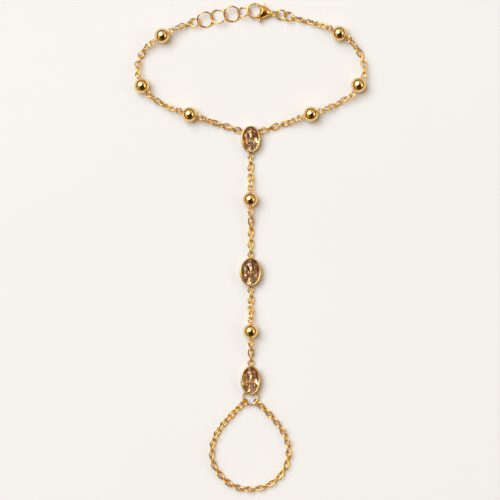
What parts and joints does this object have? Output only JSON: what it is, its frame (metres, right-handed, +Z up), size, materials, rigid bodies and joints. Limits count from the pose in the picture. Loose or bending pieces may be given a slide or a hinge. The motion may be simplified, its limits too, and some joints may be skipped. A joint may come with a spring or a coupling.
{
  "type": "hand chain bracelet",
  "caption": "Gold wrist chain with round beads, stone settings down the back of the hand, a finger loop, an extender and a lobster clasp.",
  "frame": {"origin": "on the surface that the bracelet lies on, below the middle of its bounding box in plan", "axes": "+Y from the finger loop to the clasp, +X to the right seen from above with the stones facing up, +Z up from the surface"},
  "size_m": [0.0697, 0.1471, 0.0045],
  "materials": {
    "gold": "polished gold plate",
    "stone": "clear faceted champagne"
  },
  "bodies": {
    "jewel": {"setting_top": "gold", "stone_top": "stone", "setting_middle": "gold", "stone_middle": "stone", "setting_bottom": "gold", "stone_bottom": "stone", "bead_left_1": "gold", "pin_left_1": "gold", "bead_left_2": "gold", "pin_left_2": "gold", "bead_left_3": "gold", "pin_left_3": "gold", "bead_right_1": "gold", "pin_right_1": "gold", "bead_right_2": "gold", "pin_right_2": "gold", "bead_right_3": "gold", "pin_right_3": "gold", "bead_centre_1": "gold", "pin_centre_1": "gold", "bead_centre_2": "gold", "pin_centre_2": "gold", "chain_left_1": "gold", "chain_left_2": "gold", "chain_left_3": "gold", "chain_left_4": "gold", "chain_right_1": "gold", "chain_right_2": "gold", "chain_right_3": "gold", "chain_right_4": "gold", "chain_centre_1": "gold", "chain_centre_2": "gold", "chain_centre_3": "gold", "chain_centre_4": "gold", "chain_finger": "gold", "ring_start": "gold", "ring_extender_1": "gold", "ring_extender_2": "gold", "ring_extender_3": "gold", "ring_hooked": "gold", "ring_jump_1": "gold", "ring_jump_2": "gold", "ring_finger_1": "gold", "ring_finger_2": "gold", "clasp_body": "gold"},
    "lever": {"clasp_lever": "gold"}
  },
  "joints": [
    {"name": "clasp_lever_hinge", "type": "hinge", "parent": "jewel", "child": "lever", "pos_m": [0.00257, 0.06914, 0.0014], "axis": [0, 0, 1], "range_deg": [-16, 0], "stiffness_Nm_per_rad": 0.005, "springref_deg": 8.59}
  ]
}
